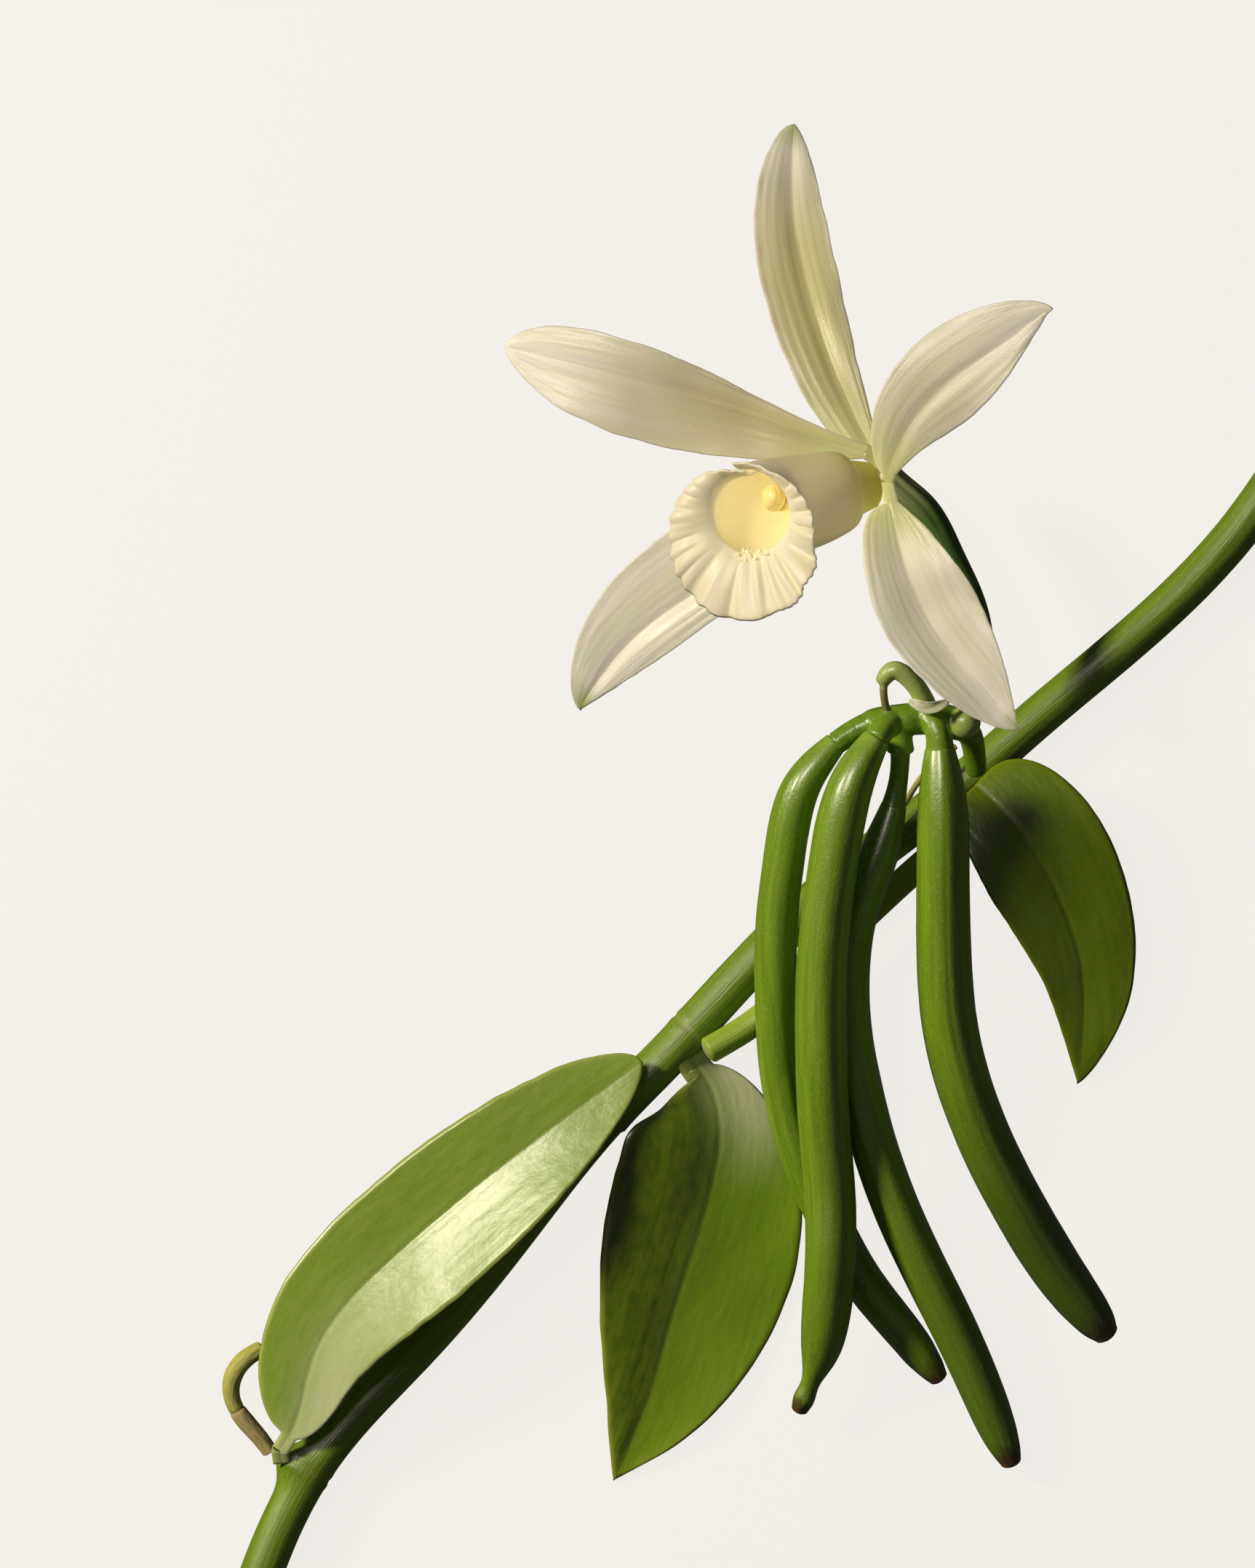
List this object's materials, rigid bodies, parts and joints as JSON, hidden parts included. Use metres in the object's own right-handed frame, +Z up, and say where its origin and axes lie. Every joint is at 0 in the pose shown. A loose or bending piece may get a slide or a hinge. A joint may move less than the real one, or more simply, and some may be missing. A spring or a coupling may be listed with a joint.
{
  "type": "vanilla vine sprig with green pods and a flower",
  "caption": "Cut vine sprig with thick oval leaves, a hanging cluster of long green seed pods, and an open cream flower with a frilled trumpet lip; lies flat.",
  "frame": {"origin": "centre of the bounding box's underside, on the surface that the sprig lies on", "axes": "+Z up from the surface, towards the shown side; +Y towards the upright sepal, along the longest extent; +X towards the vine's upper end"},
  "size_m": [0.2266, 0.3104, 0.0579],
  "materials": {
    "vine": "smooth waxy green stem, satin",
    "side_shoot": "smooth waxy green shoot, satin",
    "aerial_root": "pale olive root skin, dull",
    "pod": "waxy unripe green pod skin, satin gloss",
    "leaf": "thick waxy green leaf, glossy, pale rim",
    "tepal": "cream petal with faint green veins, soft sheen",
    "lip": "cream frilled petal, yellow in the throat",
    "column": "pale yellow, soft sheen",
    "ovary": "dark green smooth stalk, satin",
    "raceme": "mid green smooth stalks, satin",
    "bract": "pale cream papery scale"
  },
  "bodies": {
    "root": {"vine": "vine", "side_shoot": "side_shoot", "aerial_root": "aerial_root", "thin_root": "aerial_root", "pod_left": "pod", "pod_front": "pod", "pod_middle": "pod", "pod_right": "pod", "leaf_left": "leaf", "leaf_lower": "leaf", "leaf_right": "leaf", "sepal_top": "tepal", "petal_left": "tepal", "petal_right": "tepal", "sepal_lower_right": "tepal", "sepal_lower_left": "tepal", "lip": "lip", "column": "column", "ovary": "ovary", "raceme": "raceme", "bract": "bract"}
  },
  "joints": []
}
